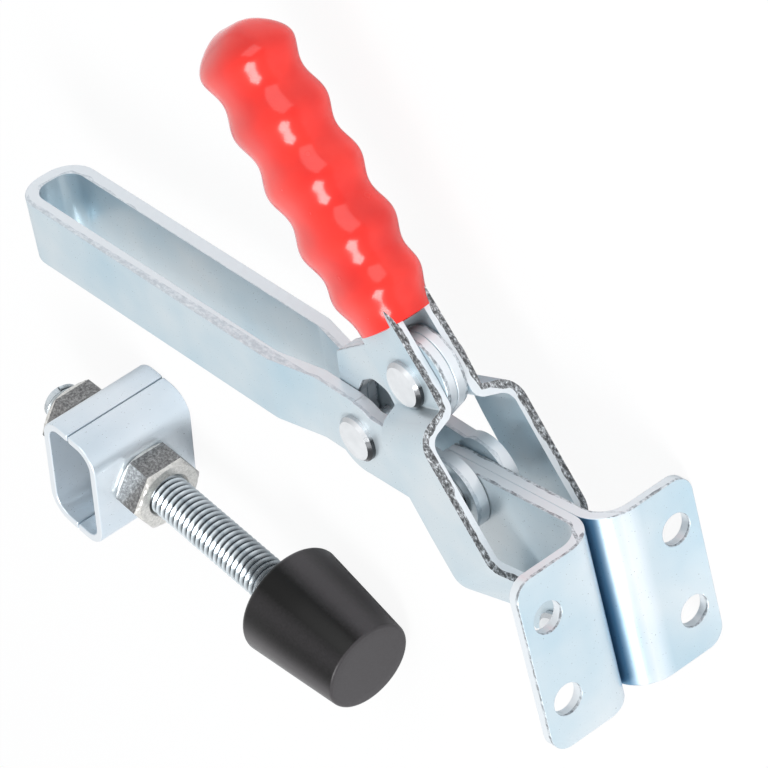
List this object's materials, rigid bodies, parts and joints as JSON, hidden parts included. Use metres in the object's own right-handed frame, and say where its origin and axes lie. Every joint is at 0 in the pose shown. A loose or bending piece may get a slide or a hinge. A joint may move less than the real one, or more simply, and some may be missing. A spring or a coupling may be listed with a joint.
{
  "type": "toggle clamp",
  "caption": "Vertical-handle toggle clamp with a flanged base, a slotted U-bar arm, a forked lever with a dipped grip, and its rubber-tipped spindle lying beside it.",
  "frame": {"origin": "centre of the four base bolt holes, on the mounting face", "axes": "+X away from the mounting face, along the open arm; +Y to the front, where the closed arm points; +Z to the clamp's left side, which lies upwards as the clamp rests on its right side"},
  "size_m": [0.2151, 0.1842, 0.043],
  "materials": {
    "zinc_steel": "zinc plated, semi gloss",
    "bolt_steel": "zinc plated",
    "nut_steel": "zinc plated",
    "dipped_vinyl": "glossy",
    "tip_rubber": "satin"
  },
  "bodies": {
    "base": {"base_plate_left": "zinc_steel", "base_plate_right": "zinc_steel", "arm_base_rivet": "zinc_steel", "handle_base_rivet": "zinc_steel"},
    "arm": {"clamping_arm": "zinc_steel", "arm_link_rivet": "zinc_steel", "spindle_bolt": "bolt_steel", "rubber_tip": "tip_rubber", "upper_nut": "nut_steel", "lower_nut": "nut_steel", "upper_washer": "zinc_steel", "lower_washer": "zinc_steel"},
    "link": {"link_plate_left": "zinc_steel", "link_plate_right": "zinc_steel"},
    "handle": {"handle_plate_left": "zinc_steel", "handle_plate_right": "zinc_steel", "grip": "dipped_vinyl", "handle_link_rivet": "zinc_steel"}
  },
  "joints": [
    {"name": "handle_pivot", "type": "hinge", "parent": "base", "child": "handle", "pos_m": [0.01407, 0.00746, 0], "axis": [0, 0, 1], "range_deg": [0, 68]},
    {"name": "arm_pivot", "type": "hinge", "parent": "base", "child": "arm", "pos_m": [0.039, -0.0145, 0], "axis": [0, 0, 1], "range_deg": [0, 96.4]},
    {"name": "link_pivot", "type": "hinge", "parent": "handle", "child": "link", "pos_m": [0.0449, -0.0376, 0], "axis": [0, 0, 1], "range_deg": [0, 80.4]}
  ],
  "couplings": [
    {"joint": "arm_pivot", "follows": "handle_pivot", "ratio": 1.4175},
    {"joint": "link_pivot", "follows": "handle_pivot", "ratio": 1.1815}
  ]
}
